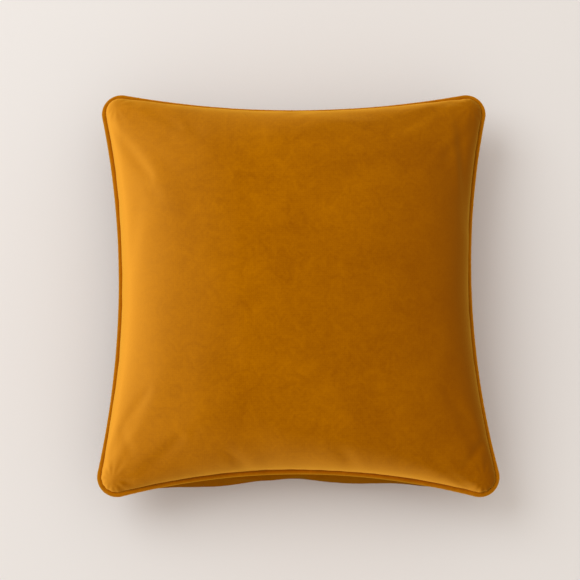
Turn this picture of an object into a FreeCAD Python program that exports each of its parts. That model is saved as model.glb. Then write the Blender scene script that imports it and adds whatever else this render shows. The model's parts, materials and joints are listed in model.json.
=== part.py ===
"""Throw pillow: a square piped velvet cover with a concealed zip, over a filled insert.

The pillow lies on its back. The floor is z = 0, the front faces +Z, the zip is along the -Y side.
All lengths are millimetres. Sections near the seam are written as (inset, height): inset is how
far a point lies inside the seam line, and height is measured from the plane of the seam.
"""
import FreeCAD, Part
import math
import os
import re

import Sketcher
from FreeCAD import Placement, Rotation, Vector

doc = FreeCAD.newDocument("throw_pillow")

# ---------------------------------------------------------------- driving dimensions
SIZES = {
    # outline of the stuffed cover, measured along the seam line at the corners
    "bottom_span": 489,
    "top_span": 485,
    "height_span": 507,
    "top_shift": -5.5,
    "sag_bottom": 28,
    "sag_right": 26,
    "sag_top": 20,
    "sag_left": 24,
    "corner_radius": 22,
    # thickness
    "seam_height": 75,
    "front_crown": 90,
    "back_crown": 85,
    "fullness_front": 30,
    "fullness_back": 58,
    # cover fabric, piping and seam
    "cloth": 1.2,
    "edge_layer": 2.5,
    "piping_radius": 4,
    "sleeve_wall": 1,
    "allowance": 15,
    "fit_gap": 0.05,
    "panel_gap": 0.3,
    "thread_radius": 0.25,
    "stitch_inset": 12.5,
    # insert
    "insert_inset": 20,
    "insert_radius": 12,
    "insert_cloth": 0.5,
    "insert_layer": 1.5,
    "insert_allowance": 9,
    "insert_stitch": 6,
    "insert_room": 0.8,
    "fill_gap": 0.5,
    "fill_inset": 26,
    # zip
    "zip_length": 356,
    "zip_drop": 8.4,
    "coil_gap": 1.2,
    "coil_width": 1.7,
    "coil_depth": 1.4,
    "coil_inset": 3.2,
    "tape_end": 10,
    "tape_cloth": 0.55,
    "tape_leg": 12,
    "tape_reach": 5.2,
    "notch_room": 1,
    "zip_stitch_inset": 9,
    "stop_length": 3,
    # slider and pull
    "slider_length": 14,
    "slider_width": 8,
    "slider_wall": 1.1,
    "slider_gap": 0.2,
    "lip_width": 1.1,
    "lip_depth": 0.9,
    "post_length": 3,
    "post_width": 0.8,
    "bail_span": 6,
    "bail_bar": 1.2,
    "bail_width": 1.5,
    "pull_gap": 0.3,
    "pull_axis": -0.6,
    "pull_length": 26,
    "pull_width": 6.4,
    "pull_wall": 1.2,
    "window_length": 7,
    "window_width": 2.8,
    # sewn-in labels
    "label_length": 40,
    "label_drop": 30,
    "label_cloth": 0.3,
    "label_inset": 9,
    "label_turn": 4,
    "label_clear": 2.4,
}

sheet = doc.addObject("Spreadsheet::Sheet", "sizes")
for row, (alias, number) in enumerate(SIZES.items(), start=1):
    sheet.set(f"A{row}", alias)
    sheet.set(f"B{row}", str(number))
    sheet.setAlias(f"B{row}", alias)
doc.recompute()


def value(alias):
    """A driving dimension, read back from the sheet."""
    return float(getattr(sheet, alias))


# ---------------------------------------------------------------- values worked out from them
DERIVED = {
    "seam_shift": "-(min(-bottom_span / 2; top_shift - top_span / 2)"
                  " + max(bottom_span / 2; top_shift + top_span / 2)) / 2",
    "bottom_half": "bottom_span / 2 - corner_radius",
    "bottom_arc": "(bottom_half ^ 2 + sag_bottom ^ 2) / (2 * sag_bottom) - corner_radius",
    "cord_radius": "piping_radius - sleeve_wall",
    "panel_inset": "piping_radius + panel_gap",
    "panel_base": "sleeve_wall + fit_gap",
    "thread_height": "panel_base + cloth + fit_gap + thread_radius",
    "arc_centre": "-height_span / 2 + sag_bottom - bottom_arc",
    "tape_face": "coil_inset + coil_depth + fit_gap",
    "tape_top": "-panel_base",
    "leg_top": "-(zip_drop + tape_reach)",
    "edge_height": "leg_top - tape_cloth - fit_gap",
    "zip_angle": "zip_length / bottom_arc * 180 / pi",
    "coil_angle": "(zip_length - 2 * tape_end) / bottom_arc * 180 / pi",
    "travel_angle": "(zip_length - 2 * tape_end - slider_length - 2 * pull_gap) / bottom_arc * 180 / pi",
    "outer_plate": "coil_inset - slider_gap",
    "inner_plate": "tape_face + tape_cloth + slider_gap",
}

derived = doc.addObject("App::VarSet", "derived")


def bound(formula):
    """A formula in plain size names, as an expression that reads them from the document."""
    def full_name(match):
        word = match.group(0)
        if word in SIZES:
            return "sizes." + word
        if word in DERIVED:
            return "derived." + word
        return word
    return re.sub(r"[a-z][a-z_]+", full_name, formula)


for name, formula in DERIVED.items():
    derived.addProperty("App::PropertyFloat", name, "Derived")
    derived.setExpression(name, bound(formula))
    doc.recompute()


def worked(name):
    """A derived value, as the document worked it out."""
    return float(getattr(derived, name))


# ---------------------------------------------------------------- sketch helpers
def origin_plane(body, role):
    """One of a body's own origin planes or axes, by its role."""
    return next(item for item in body.Origin.OriginFeatures if item.Role == role)


def new_body(label):
    """A body whose label names the sub-part."""
    body = doc.addObject("PartDesign::Body", label)
    body.Label = label
    body.AllowCompound = True
    return body


def new_sketch(body, name, role):
    """A sketch on one of the body's origin planes."""
    sketch = body.newObject("Sketcher::SketchObject", name)
    sketch.AttachmentSupport = [(origin_plane(body, role), "")]
    sketch.MapMode = "FlatFace"
    return sketch


def constrain(sketch, kind, *where, formula):
    """A dimension bound to a formula of the sheet's sizes."""
    index = sketch.addConstraint(Sketcher.Constraint(kind, *where))
    sketch.setExpression(f"Constraints[{index}]", bound(formula))


def polygon(sketch, corners):
    """A closed outline. Each corner is a guess at its place and the two formulas that fix it."""
    first = sketch.GeometryCount
    count = len(corners)
    for number in range(count):
        start = corners[number][0]
        end = corners[(number + 1) % count][0]
        sketch.addGeometry(Part.LineSegment(Vector(*start, 0), Vector(*end, 0)), False)
    for number in range(count):
        following = (number + 1) % count
        sketch.addConstraint(Sketcher.Constraint("Coincident", first + number, 2, first + following, 1))
    for number, (guess, across, up) in enumerate(corners):
        constrain(sketch, "DistanceX", first + number, 1, guess[0], formula=across)
        constrain(sketch, "DistanceY", first + number, 1, guess[1], formula=up)


def rectangle(sketch, guess, left, low, right, high):
    """A rectangle whose four sides are fixed by formulas; guess is left, low, right, high."""
    x_low, y_low, x_high, y_high = guess
    polygon(sketch, [
        ((x_low, y_low), left, low),
        ((x_high, y_low), right, low),
        ((x_high, y_high), right, high),
        ((x_low, y_high), left, high),
    ])


# ---------------------------------------------------------------- the seam line
def seam_corners(inset, radius):
    """Centres of the four corner arcs, anticlockwise from bottom left."""
    reach = inset + radius
    shift = worked("seam_shift")
    half_low = value("bottom_span") / 2 - reach
    half_high = value("top_span") / 2 - reach
    half_tall = value("height_span") / 2 - reach
    lean = value("top_shift")
    return [
        Vector(shift - half_low, -half_tall, 0),
        Vector(shift + half_low, -half_tall, 0),
        Vector(shift + lean + half_high, half_tall, 0),
        Vector(shift + lean - half_high, half_tall, 0),
    ]


def side_arc(start, end, radius, sag):
    """The hollow arc between two corner arcs: its ends, middle and centre."""
    chord = end - start
    outward = Vector(chord.y, -chord.x, 0).normalize()
    reach = (chord.Length ** 2 / 4 + sag ** 2) / (2 * sag)
    centre = (start + end) * 0.5 + outward * (reach - sag)
    first = start + (centre - start) * (radius / reach)
    last = end + (centre - end) * (radius / reach)
    middle = centre - outward * (reach - radius)
    return first, middle, last, centre


def seam_arcs(inset, radius=None):
    """The seam line moved inwards: corner and side arcs in turn, anticlockwise."""
    if radius is None:
        radius = value("corner_radius") - inset
    centres = seam_corners(inset, radius)
    sags = [value("sag_" + side) for side in ("bottom", "right", "top", "left")]
    sides = []
    for number in range(4):
        sides.append(side_arc(centres[number], centres[(number + 1) % 4], radius, sags[number]))
    arcs = []
    for number in range(4):
        before = sides[number - 1][2]
        after = sides[number][0]
        centre = centres[number]
        bisector = ((before - centre) + (after - centre)).normalize()
        arcs.append(Part.Arc(before, centre + bisector * radius, after).toShape())
        first, middle, last, _ = sides[number]
        arcs.append(Part.Arc(first, middle, last).toShape())
    return arcs


def at_seam_plane(body):
    """Sets a body's origin at the height of the seam."""
    body.setExpression(".Placement.Base.z", bound("seam_height"))


def circle(sketch, place, size, across, along, radius):
    """A circle whose centre and radius are fixed by formulas."""
    centre_of = 3
    index = sketch.addGeometry(Part.Circle(Vector(*place, 0), Vector(0, 0, 1), size), False)
    constrain(sketch, "DistanceX", index, centre_of, place[0], formula=across)
    constrain(sketch, "DistanceY", index, centre_of, place[1], formula=along)
    constrain(sketch, "Radius", index, size, formula=radius)


def along(edge, share):
    """The point at a share of one edge's length."""
    return edge.valueAt(edge.FirstParameter + share * (edge.LastParameter - edge.FirstParameter))


def boundary(arcs):
    """Four arcs between the middles of a closed outline's corners, through its sides' middles."""
    corners = [along(corner, 0.5) for corner in arcs[::2]]
    middles = [along(side, 0.5) for side in arcs[1::2]]
    return [Part.Arc(corners[n], middles[n], corners[(n + 1) % 4]).toShape() for n in range(4)]


# ---------------------------------------------------------------- piping
def feature(label, shape):
    """A sub-part whose shape is made by Part's own functions, placed at the seam plane."""
    item = doc.addObject("Part::Feature", label)
    item.Label = label
    item.Shape = shape
    item.Placement = Placement(Vector(0, 0, value("seam_height")), Rotation())
    return item


def carried_along(edges, section):
    """A solid swept along joined edges. The section is made from its (inset, height) points.

    The outline runs anticlockwise, and the section stays upright all the way.
    """
    path = Part.Wire(edges)
    first = edges[0]
    start = first.valueAt(first.FirstParameter)
    tangent = first.tangentAt(first.FirstParameter)
    upright = Vector(0, 0, 1)
    inward = upright.cross(tangent)

    def place(inset, height):
        return start + inward * inset + upright * height

    sweep = Part.BRepOffsetAPI.MakePipeShell(path)
    sweep.setBiNormalMode(upright)
    sweep.add(section(place, tangent))
    sweep.build()
    sweep.makeSolid()
    return sweep.shape()


def round_section(inset, height, radius):
    """A round section, such as a cord's or a thread's."""
    def section(place, tangent):
        return Part.Wire(Part.makeCircle(radius, place(inset, height), tangent))
    return section


def whole_seam():
    """The closed seam line, starting with the bottom side."""
    arcs = seam_arcs(0)
    return arcs[1:] + arcs[:1]


def make_piping_cord():
    """Cotton cord inside the piping."""
    radius = worked("cord_radius") - value("fit_gap")
    return feature("piping_cord", carried_along(whole_seam(), round_section(0, 0, radius)))


def make_piping_sleeve():
    """Bias velvet wrapped round the cord, with its two allowances lying together."""
    wall = value("sleeve_wall")
    size = value("piping_radius")
    end = value("allowance")
    lip = math.sqrt(size ** 2 - wall ** 2)

    def section(place, tangent):
        wrap = Part.Arc(place(lip, wall), place(-size, 0), place(lip, -wall)).toShape()
        low = Part.makeLine(place(lip, -wall), place(end, -wall))
        raw_edge = Part.makeLine(place(end, -wall), place(end, wall))
        high = Part.makeLine(place(end, wall), place(lip, wall))
        return Part.Wire([wrap, low, raw_edge, high])

    outside = carried_along(whole_seam(), section)
    bore = carried_along(whole_seam(), round_section(0, 0, worked("cord_radius")))
    return feature("piping_sleeve", outside.cut(bore))


def make_seam_thread(label, arcs, height):
    """The needle and bobbin threads along each side of a seam, one each side of its layers."""
    radius = value("thread_radius")
    rows = []
    for side in boundary(arcs):
        for sign in (1, -1):
            rows.append(carried_along([side], round_section(0, sign * height, radius)))
    return feature(label, Part.makeCompound(rows))


# ---------------------------------------------------------------- puffed shells
GRID = 24



def blend(low, high, left, right, corners, u, v):
    """A point of the patch that four sides span, from the sides' points and the four corners."""
    ruled = low * (1 - v) + high * v + left * (1 - u) + right * u
    across_low = corners[0] * (1 - u) + corners[1] * u
    across_high = corners[3] * (1 - u) + corners[2] * u
    return ruled - across_low * (1 - v) - across_high * v


def eased(number, count):
    """A share from 0 to 1 whose steps are short at both ends."""
    return (1 - math.cos(math.pi * number / count)) / 2


def dome(arcs, base, crown, fullness):
    """A closed crowned solid on an outline. A negative crown faces down."""
    bottom, right, top, left = boundary(arcs)
    corners = [along(bottom, 0), along(right, 0), along(top, 0), along(left, 0)]
    grid = []
    for across in range(GRID + 1):
        turn_u = math.pi * (across / GRID - 0.5)
        u = eased(across, GRID)
        row = []
        for up in range(GRID + 1):
            turn_v = math.pi * (up / GRID - 0.5)
            v = eased(up, GRID)
            point = blend(
                along(bottom, u), along(top, 1 - u), along(left, 1 - v), along(right, v), corners, u, v,
            )
            on_edge = across in (0, GRID) or up in (0, GRID)
            rise = 0 if on_edge else math.cos(turn_u) * math.cos(turn_v)
            swell = Vector(math.sin(turn_u), math.sin(turn_v), 0) * (fullness * rise)
            row.append(point + swell + Vector(0, 0, base + crown * rise))
        grid.append(row)
    surface = Part.BSplineSurface()
    surface.interpolate(grid)
    skin = surface.toShape()
    floor = Part.Face(Part.Wire(Part.__sortEdges__(skin.Edges)))
    return Part.makeSolid(Part.makeShell([skin, floor]))


def prism(arcs, low, high):
    """The space inside the same four arcs, between two heights."""
    face = Part.Face(Part.Wire(boundary(arcs)))
    face.translate(Vector(0, 0, low))
    return face.extrude(Vector(0, 0, high - low))


def below(height):
    """All the space under a height, as a box wider than the pillow."""
    wide = 2 * max(value("bottom_span"), value("top_span"), value("height_span"))
    return Part.makeBox(wide, wide, wide, Vector(-wide / 2, -wide / 2, height - wide))


def zip_sector(corners, length):
    """A solid along the zip: an (inset, height) outline turned about the bottom side's axis."""
    radius = worked("bottom_arc")
    half = math.degrees(length / radius / 2)
    points = [Vector(0, radius + inset, height) for inset, height in corners]
    face = Part.Face(Part.makePolygon(points + points[:1]))
    face.rotate(Vector(0, 0, 0), Vector(0, 0, 1), -half)
    solid = face.revolve(Vector(0, 0, 0), Vector(0, 0, 1), 2 * half)
    solid.translate(Vector(worked("seam_shift"), worked("arc_centre"), 0))
    return solid


def layer(inset, base, crown, fullness, radius=None):
    """One nested dome between its base plane and its crown height."""
    return dome(seam_arcs(inset, radius), base, crown - base, fullness)


def make_front_panel():
    """Front velvet with its turned-in seam allowance."""
    base = worked("panel_base")
    crown = value("front_crown")
    outside = layer(worked("panel_inset"), base, crown, value("fullness_front"))
    inset = worked("panel_inset") + value("edge_layer")
    cloth = value("cloth")
    inside = layer(inset, base + cloth, crown - cloth, value("fullness_front"))
    opening = prism(seam_arcs(value("allowance")), base - cloth, base + 2 * cloth)
    return feature("front_panel", outside.cut(inside).cut(opening))


def make_back_panel():
    """Back velvet, flat where it rests, with the edge along the zip turned in."""
    base = worked("panel_base")
    crown = value("back_crown")
    cloth = value("cloth")
    rest = -value("seam_height")
    whole = layer(worked("panel_inset"), -base, -crown, value("fullness_back"))
    outside = whole.cut(below(rest))
    inset = worked("panel_inset") + value("edge_layer")
    inside = layer(inset, -base - cloth, cloth - crown, value("fullness_back")).cut(below(rest + cloth))
    opening = prism(seam_arcs(value("allowance")), -base - 2 * cloth, cloth - base)
    edge = worked("edge_height")
    outer = -2 * value("sag_bottom")
    inner = value("allowance") + cloth
    notch_length = value("zip_length") + 2 * value("notch_room")
    notch = zip_sector([(outer, edge), (inner, edge), (inner, 0), (outer, 0)], notch_length)
    leg = value("tape_leg")
    turned = zip_sector([(outer, edge - cloth), (leg, edge - cloth), (leg, edge), (outer, edge)],
                        value("zip_length"))
    shell = outside.cut(inside).cut(opening).cut(notch)
    return feature("back_panel", shell.fuse(turned.common(whole)))


def insert_layer_values(side):
    """Crown height of the insert's outside and its fullness, for the front or the back."""
    room = value("cloth") + value("insert_room")
    if side == "front":
        return value("front_crown") - room, value("fullness_front")
    return room - value("back_crown"), value("fullness_back")


def make_insert_panel(side):
    """One side of the insert's cotton case."""
    crown, fullness = insert_layer_values(side)
    sign = 1 if side == "front" else -1
    cloth = value("insert_cloth")
    gap = value("fit_gap") / 2
    radius = value("insert_radius")
    inset = value("insert_inset")
    outside = layer(inset, sign * gap, crown, fullness, radius)
    inner_inset = inset + value("insert_layer")
    inside = layer(inner_inset, sign * (gap + cloth), crown - sign * cloth, fullness, radius)
    opening_outline = seam_arcs(inset + value("insert_allowance"), radius)
    opening = prism(opening_outline, -2 * cloth, 2 * cloth)
    if side == "back":
        rest = value("cloth") + value("panel_gap") - value("seam_height")
        outside = outside.cut(below(rest))
        inside = inside.cut(below(rest + cloth))
    return feature("insert_" + side, outside.cut(inside).cut(opening))


def make_insert_filling():
    """The polyester filling, one soft solid with a groove round it for the case's seam."""
    cloth = value("insert_cloth")
    gap = value("fill_gap")
    radius = value("insert_radius")
    inset = value("fill_inset")
    base = value("fit_gap") / 2 + cloth + 2 * value("thread_radius") + gap
    halves = []
    for side, sign in (("front", 1), ("back", -1)):
        crown, fullness = insert_layer_values(side)
        halves.append(layer(inset, sign * base, crown - sign * (cloth + gap), fullness, radius))
    rest = value("cloth") + value("panel_gap") + cloth + gap - value("seam_height")
    halves[1] = halves[1].cut(below(rest))
    neck_inset = value("insert_inset") + value("insert_allowance") + gap
    neck = prism(seam_arcs(neck_inset, radius), -base - cloth, base + cloth)
    return feature("insert_filling", halves[0].fuse(neck).fuse(halves[1]))


# ---------------------------------------------------------------- zip
def zip_body(label):
    """A body whose origin is on the axis that the bottom side and the zip curve about."""
    body = new_body(label)
    body.setExpression(".Placement.Base.x", bound("seam_shift"))
    body.setExpression(".Placement.Base.y", bound("arc_centre"))
    at_seam_plane(body)
    return body


def revolve(body, sketch, angle):
    """Turns a section about the body's upright axis, equally to both sides."""
    turned = body.newObject("PartDesign::Revolution", sketch.Name + "_turned")
    turned.Profile = sketch
    turned.ReferenceAxis = (origin_plane(body, "Z_Axis"), [""])
    turned.Midplane = True
    turned.setExpression("Angle", bound(angle))
    return turned


def zip_polygon(sketch, corners):
    """An outline of (inset, height) pairs, each a number and a formula, seen from the zip's axis."""
    radius = worked("bottom_arc")
    placed = []
    for inset, inset_formula, height, height_formula in corners:
        placed.append(((radius + inset, height), f"bottom_arc + ({inset_formula})", height_formula))
    polygon(sketch, placed)


def box_section(sketch, near, far, low, high):
    """A rectangle along the zip. Each argument is a number and its formula."""
    zip_polygon(sketch, [(*near, *low), (*far, *low), (*far, *high), (*near, *high)])


def pair(formula, number):
    """A number with the formula that fixes it."""
    return number, formula


def make_zip_tape(label, sign):
    """One woven tape: it stands behind its coil and turns inwards to be sewn."""
    body = zip_body(label)
    sketch = new_sketch(body, label + "_section", "YZ_Plane")
    face = worked("tape_face")
    cloth = value("tape_cloth")
    leg = value("tape_leg")
    inner = value("zip_drop") - sign * value("coil_gap") / 2
    mark = "-" if sign > 0 else "+"
    edge = pair(f"-(zip_drop {mark} coil_gap / 2)", -inner)
    if sign > 0:
        turn = pair("tape_top", worked("tape_top"))
        under = pair("tape_top - tape_cloth", worked("tape_top") - cloth)
    else:
        turn = pair("leg_top - tape_cloth", worked("leg_top") - cloth)
        under = pair("leg_top", worked("leg_top"))
    front = pair("tape_face", face)
    back = pair("tape_face + tape_cloth", face + cloth)
    end = pair("tape_leg", leg)
    zip_polygon(sketch, [
        (*front, *edge), (*front, *turn), (*end, *turn),
        (*end, *under), (*back, *under), (*back, *edge),
    ])
    revolve(body, sketch, "zip_angle")
    return body


def make_zip_coil(label, sign):
    """One row of coil, standing for its envelope."""
    body = zip_body(label)
    sketch = new_sketch(body, label + "_section", "YZ_Plane")
    drop = value("zip_drop")
    half_gap = value("coil_gap") / 2
    near = pair("coil_inset", value("coil_inset"))
    far = pair("coil_inset + coil_depth", value("coil_inset") + value("coil_depth"))
    mark = "+" if sign > 0 else "-"
    low = pair(f"-zip_drop {mark} coil_gap / 2", -drop + sign * half_gap)
    high = pair(
        f"-zip_drop {mark} (coil_gap / 2 + coil_width)",
        -drop + sign * (half_gap + value("coil_width")),
    )
    box_section(sketch, near, far, low, high)
    revolve(body, sketch, "coil_angle")
    return body


def make_zip_thread(label, height, height_formula):
    """Stitch line along one tape's turned-in edge."""
    body = zip_body(label)
    sketch = new_sketch(body, label + "_section", "YZ_Plane")
    circle(
        sketch, (worked("bottom_arc") + value("zip_stitch_inset"), height), value("thread_radius"),
        "bottom_arc + zip_stitch_inset", height_formula, "thread_radius",
    )
    revolve(body, sketch, "coil_angle")
    return body


def make_stop(label, side, rows):
    """Moulded stops just past the coils' ends. Side is +1 at the closed end."""
    body = zip_body(label)
    sketch = new_sketch(body, label + "_section", "YZ_Plane")
    drop = value("zip_drop")
    half_gap = value("coil_gap") / 2
    reach = half_gap + value("coil_width")
    near = pair("coil_inset", value("coil_inset"))
    far = pair("coil_inset + coil_depth", value("coil_inset") + value("coil_depth"))
    if rows == 2:
        spans = [
            (pair("-zip_drop + coil_gap / 2", half_gap - drop),
             pair("-zip_drop + coil_gap / 2 + coil_width", reach - drop)),
            (pair("-zip_drop - coil_gap / 2 - coil_width", -reach - drop),
             pair("-zip_drop - coil_gap / 2", -half_gap - drop)),
        ]
    else:
        spans = [
            (pair("-zip_drop - coil_gap / 2 - coil_width", -reach - drop),
             pair("-zip_drop + coil_gap / 2 + coil_width", reach - drop)),
        ]
    for low, high in spans:
        box_section(sketch, near, far, low, high)
    revolve(body, sketch, "stop_length / bottom_arc * 180 / pi")
    body.Placement.Rotation = Rotation(Vector(0, 0, 1), 0)
    turn = "(coil_angle / 2 + (stop_length / 2 + fit_gap) / bottom_arc * 180 / pi)"
    mark = "-" if side > 0 else ""
    body.setExpression(".Placement.Rotation.Axis.z", "1")
    body.setExpression(".Placement.Rotation.Angle", bound(f"{mark}{turn}"))
    return body


def closed_body(label):
    """A body on the zip's axis, turned to where the closed slider stands."""
    body = zip_body(label)
    body.Placement.Rotation = Rotation(Vector(0, 0, 1), 0)
    body.setExpression(".Placement.Rotation.Axis.z", "1")
    body.setExpression(".Placement.Rotation.Angle", bound("-travel_angle / 2"))
    return body


def pad(body, sketch, length, symmetric=False, reverse=False):
    """Pads a sketch by a formula."""
    solid = body.newObject("PartDesign::Pad", sketch.Name + "_pad")
    solid.Profile = sketch
    solid.Reversed = reverse
    solid.Midplane = symmetric
    solid.setExpression("Length", bound(length))
    return solid


def plate_sketch(body, name, depth, length, low, high):
    """A rectangle facing along the body's Y axis, set at a formula's distance from its origin.

    The plane's own x runs along the zip and its own y is height.
    """
    sketch = new_sketch(body, name, "XZ_Plane")
    sketch.setExpression(".AttachmentOffset.Base.z", bound(f"-(bottom_arc + {depth})"))
    half_number, half = length
    rectangle(sketch, (-half_number, low[0], half_number, high[0]), f"-({half})", low[1], half, high[1])
    return sketch


def make_zip_slider():
    """Slider: two plates joined by a post between the coils, lips, and a bail for the pull."""
    body = closed_body("zip_slider")
    drop = value("zip_drop")
    half_length = (value("slider_length") / 2, "slider_length / 2")
    half_width = value("slider_width") / 2
    low = (-drop - half_width, "-zip_drop - slider_width / 2")
    high = (-drop + half_width, "-zip_drop + slider_width / 2")
    outer = plate_sketch(body, "outer_plate", "outer_plate", half_length, low, high)
    pad(body, outer, "slider_wall")
    post_half = (value("post_length") / 2, "post_length / 2")
    post_low = (-drop - value("post_width") / 2, "-zip_drop - post_width / 2")
    post_high = (-drop + value("post_width") / 2, "-zip_drop + post_width / 2")
    post = plate_sketch(body, "post", "outer_plate", post_half, post_low, post_high)
    pad(body, post, "inner_plate - outer_plate", reverse=True)
    inner = plate_sketch(body, "inner_plate", "inner_plate", half_length, low, high)
    pad(body, inner, "slider_wall", reverse=True)
    for side, sign in (("upper", 1), ("lower", -1)):
        mark = "+" if sign > 0 else "-"
        rim = (-drop + sign * half_width, f"-zip_drop {mark} slider_width / 2")
        lip = (
            -drop + sign * (half_width - value("lip_width")),
            f"-zip_drop {mark} (slider_width / 2 - lip_width)",
        )
        edges = (lip, rim) if sign > 0 else (rim, lip)
        sketch = plate_sketch(body, side + "_lip", "outer_plate", half_length, *edges)
        pad(body, sketch, "lip_depth", reverse=True)
    bail = new_sketch(body, "bail", "XY_Plane")
    bail.setExpression(".AttachmentOffset.Base.z", bound("-zip_drop"))
    radius = worked("bottom_arc")
    inside = value("bail_span") / 2
    outside = inside + value("bail_bar")
    foot = radius + worked("outer_plate") - value("slider_wall")
    under = radius - value("pull_axis") - value("pull_wall") / 2 - value("pull_gap")
    top = under - value("bail_bar")
    foot_formula = "bottom_arc + outer_plate - slider_wall"
    under_formula = "bottom_arc - pull_axis - pull_wall / 2 - pull_gap"
    top_formula = under_formula + " - bail_bar"
    leg_in = "bail_span / 2"
    leg_out = "bail_span / 2 + bail_bar"
    polygon(bail, [
        ((-outside, foot), f"-({leg_out})", foot_formula),
        ((-outside, top), f"-({leg_out})", top_formula),
        ((outside, top), leg_out, top_formula),
        ((outside, foot), leg_out, foot_formula),
        ((inside, foot), leg_in, foot_formula),
        ((inside, under), leg_in, under_formula),
        ((-inside, under), f"-{leg_in}", under_formula),
        ((-inside, foot), f"-{leg_in}", foot_formula),
    ])
    pad(body, bail, "bail_width", symmetric=True)
    return body


def make_zip_pull():
    """Pull tab: a flat tab with a window, whose round end bar turns under the bail."""
    body = closed_body("zip_pull")
    drop = value("zip_drop")
    half_wall = value("pull_wall") / 2
    half_width = value("pull_width") / 2
    tab = new_sketch(body, "tab", "XZ_Plane")
    tab.setExpression(".AttachmentOffset.Base.z", bound("-(bottom_arc - pull_axis)"))
    rectangle(
        tab, (-value("pull_length"), -drop - half_width, -half_wall / 2, -drop + half_width),
        "-pull_length", "-zip_drop - pull_width / 2", "-pull_wall / 4", "-zip_drop + pull_width / 2",
    )
    reach = half_wall + value("window_length")
    half_window = value("window_width") / 2
    rectangle(
        tab, (-reach, -drop - half_window, -half_wall, -drop + half_window),
        "-(pull_wall / 2 + window_length)", "-zip_drop - window_width / 2",
        "-pull_wall / 2", "-zip_drop + window_width / 2",
    )
    pad(body, tab, "pull_wall", symmetric=True)
    bar = new_sketch(body, "bar", "XY_Plane")
    bar.setExpression(".AttachmentOffset.Base.z", bound("-zip_drop"))
    upright_axis = -2
    centre_of = 3
    place = Vector(0, worked("bottom_arc") - value("pull_axis"), 0)
    index = bar.addGeometry(Part.Circle(place, Vector(0, 0, 1), half_wall), False)
    bar.addConstraint(Sketcher.Constraint("PointOnObject", index, centre_of, upright_axis))
    constrain(bar, "DistanceY", index, centre_of, place.y, formula="bottom_arc - pull_axis")
    constrain(bar, "Radius", index, half_wall, formula="pull_wall / 2")
    pad(body, bar, "pull_width", symmetric=True)
    return body


# ---------------------------------------------------------------- labels
def make_label(label, centre, along_axis, inward, turn_inset):
    """A blank tape label: a short turn in the seam, then a tab that hangs down."""
    cloth = value("label_cloth")
    drop = -worked("thread_height") - value("thread_radius") - value("fit_gap")
    hang = value("label_inset")
    half = along_axis * (value("label_length") / 2)
    start = centre - half
    near = start + inward * hang
    points = [
        near + Vector(0, 0, drop),
        start + inward * turn_inset + Vector(0, 0, drop),
        start + inward * turn_inset + Vector(0, 0, drop - cloth),
        start + inward * (hang + cloth) + Vector(0, 0, drop - cloth),
        start + inward * (hang + cloth) + Vector(0, 0, drop - value("label_drop")),
        near + Vector(0, 0, drop - value("label_drop")),
    ]
    face = Part.Face(Part.makePolygon(points + points[:1]))
    return feature(label, face.extrude(half * 2))


def side_middle(side):
    """The middle of a side of the seam line."""
    edge = seam_arcs(0)[2 * side + 1]
    return edge.valueAt((edge.FirstParameter + edge.LastParameter) / 2)


# ---------------------------------------------------------------- build
bottom_side, right_side, top_side, left_side = range(4)
parts = [
    make_front_panel(),
    make_back_panel(),
    make_piping_sleeve(),
    make_piping_cord(),
    make_seam_thread("cover_seam_thread", seam_arcs(value("stitch_inset")), worked("thread_height")),
    make_insert_panel("front"),
    make_insert_panel("back"),
    make_insert_filling(),
    make_seam_thread(
        "insert_seam_thread",
        seam_arcs(value("insert_inset") + value("insert_stitch"), value("insert_radius")),
        value("fit_gap") + value("insert_cloth") + value("thread_radius"),
    ),
    make_zip_tape("zip_tape_upper", 1),
    make_zip_tape("zip_tape_lower", -1),
    make_zip_coil("zip_coil_upper", 1),
    make_zip_coil("zip_coil_lower", -1),
    make_zip_thread(
        "zip_thread_upper",
        worked("tape_top") - value("tape_cloth") - value("fit_gap") - value("thread_radius"),
        "tape_top - tape_cloth - fit_gap - thread_radius",
    ),
    make_zip_thread(
        "zip_thread_lower",
        worked("leg_top") + value("fit_gap") + value("thread_radius"),
        "leg_top + fit_gap + thread_radius",
    ),
    make_stop("zip_top_stops", 1, 2),
    make_stop("zip_bottom_stop", -1, 1),
    make_zip_slider(),
    make_zip_pull(),
    make_label(
        "care_label", side_middle(left_side), Vector(0, 1, 0), Vector(1, 0, 0),
        value("label_inset") + value("label_turn"),
    ),
    make_label(
        "insert_label", side_middle(top_side), Vector(1, 0, 0), Vector(0, -1, 0),
        value("insert_inset") - value("label_clear"),
    ),
]
doc.recompute()

for item in doc.Objects:
    if "Invalid" in item.State or "Error" in item.State:
        raise RuntimeError(f"{item.Label} did not compute: {item.State}")
for part in parts:
    if part.Shape.isNull() or not part.Shape.isValid():
        raise RuntimeError(f"{part.Label} has no valid shape")

os.makedirs("parts", exist_ok=True)
for part in parts:
    part.Shape.exportStep(f"parts/{part.Label}.step")
    box = part.Shape.optimalBoundingBox(False)
    print(
        f"{part.Label:20s} solids {len(part.Shape.Solids)} volume {part.Shape.Volume:12.1f}"
        f" x {box.XMin:7.1f} {box.XMax:7.1f} y {box.YMin:7.1f} {box.YMax:7.1f}"
        f" z {box.ZMin:6.1f} {box.ZMax:6.1f}"
    )
print(f"zip axis x {worked('seam_shift'):.3f} y {worked('arc_centre'):.3f} radius {worked('bottom_arc'):.3f}")
print(f"slider travel {worked('travel_angle'):.3f} degrees")
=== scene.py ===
# %% [markdown]
# # A piped velvet throw pillow
# The pillow is a square velvet cover with a corded edge, closed by a hidden zip, over a filled
# insert. The CAD frame gives every size. Here each soft piece is rebuilt as cloth, and every
# finish is made with nodes.

# %% Load the frame
import json
import math

import bmesh
import bpy
from mathutils import Matrix, Vector, noise


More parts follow.
